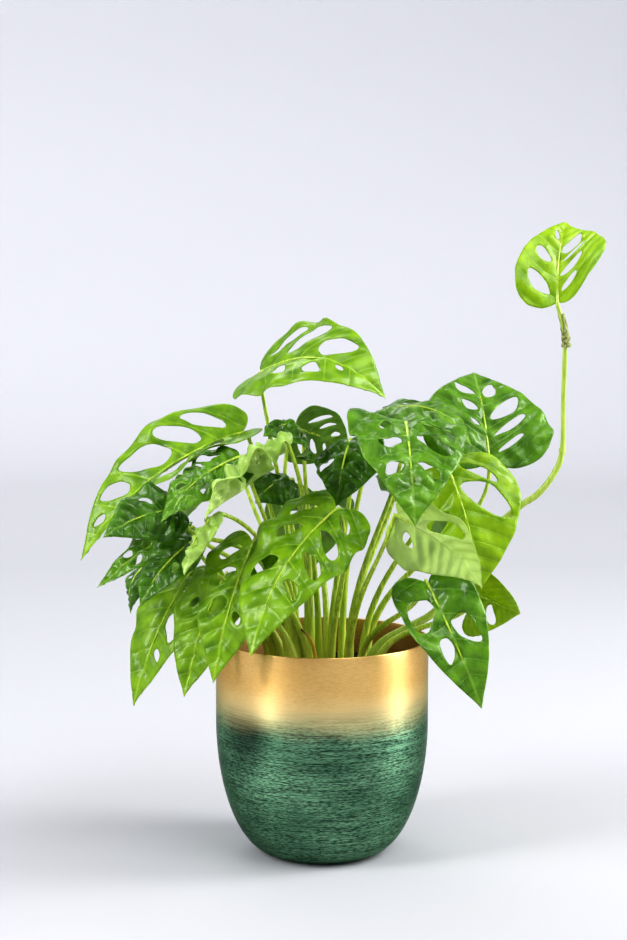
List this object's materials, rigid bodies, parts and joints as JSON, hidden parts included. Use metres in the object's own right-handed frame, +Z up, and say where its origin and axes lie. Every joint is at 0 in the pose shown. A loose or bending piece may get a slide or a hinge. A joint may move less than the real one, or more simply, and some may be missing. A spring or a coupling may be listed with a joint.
{
  "type": "potted monstera plant",
  "caption": "Leafy Swiss cheese vine with windowed leaves on arching stalks and one long upright runner, growing in a round metal cachepot.",
  "frame": {"origin": "centre of the pot's flat foot, on the surface that it stands on", "axes": "+Z up; -Y towards the room, the side with the fullest leaves; +X to the right seen from that side, where the long runner rises"},
  "size_m": [0.3662, 0.2648, 0.4443],
  "materials": {
    "lacquered_metal": "satin",
    "potting_soil": "matte",
    "leaf_green": "satin",
    "leaf_dark": "satin",
    "leaf_lime": "satin",
    "leaf_pale": "satin",
    "stalk_green": "satin",
    "vine_green": "satin",
    "dry_sheath": "matte",
    "yellowed_stub": "satin"
  },
  "bodies": {
    "root": {"pot": "lacquered_metal", "soil": "potting_soil", "arch_leaf": "leaf_green", "arch_stalk": "stalk_green", "back_left_leaf": "leaf_green", "back_left_stalk": "stalk_green", "back_middle_leaf": "leaf_green", "back_middle_stalk": "stalk_green", "back_right_leaf": "leaf_green", "back_right_stalk": "stalk_green", "bud_leaf": "leaf_dark", "bud_stalk": "stalk_green", "centre_leaf": "leaf_dark", "centre_stalk": "stalk_green", "claw_leaf": "leaf_dark", "claw_stalk": "stalk_green", "crinkled_leaf": "leaf_pale", "crinkled_stalk": "stalk_green", "crown_leaf": "leaf_lime", "crown_stalk": "stalk_green", "curled_leaf": "leaf_pale", "curled_stalk": "stalk_green", "drape_leaf": "leaf_green", "drape_stalk": "stalk_green", "folded_leaf": "leaf_dark", "folded_stalk": "stalk_green", "front_leaf": "leaf_lime", "front_stalk": "stalk_green", "gloss_leaf": "leaf_green", "gloss_stalk": "stalk_green", "hook_leaf": "leaf_dark", "hook_stalk": "stalk_green", "little_leaf": "leaf_lime", "little_stalk": "stalk_green", "long_leaf": "leaf_lime", "long_stalk": "stalk_green", "lower_leaf": "leaf_green", "lower_stalk": "stalk_green", "lowest_leaf": "leaf_lime", "lowest_stalk": "stalk_green", "narrow_leaf": "leaf_green", "narrow_stalk": "stalk_green", "olive_leaf": "leaf_green", "olive_stalk": "stalk_green", "shaded_leaf": "leaf_dark", "shaded_stalk": "stalk_green", "shoulder_leaf": "leaf_green", "shoulder_stalk": "stalk_green", "skirt_leaf": "leaf_green", "skirt_stalk": "stalk_green", "sunlit_leaf": "leaf_lime", "sunlit_stalk": "stalk_green", "topmost_leaf": "leaf_lime", "under_leaf": "leaf_pale", "under_stalk": "stalk_green", "upper_leaf": "leaf_green", "upper_stalk": "stalk_green", "vine_stem": "vine_green", "vine_sheath": "dry_sheath", "cut_stub": "yellowed_stub"}
  },
  "joints": []
}
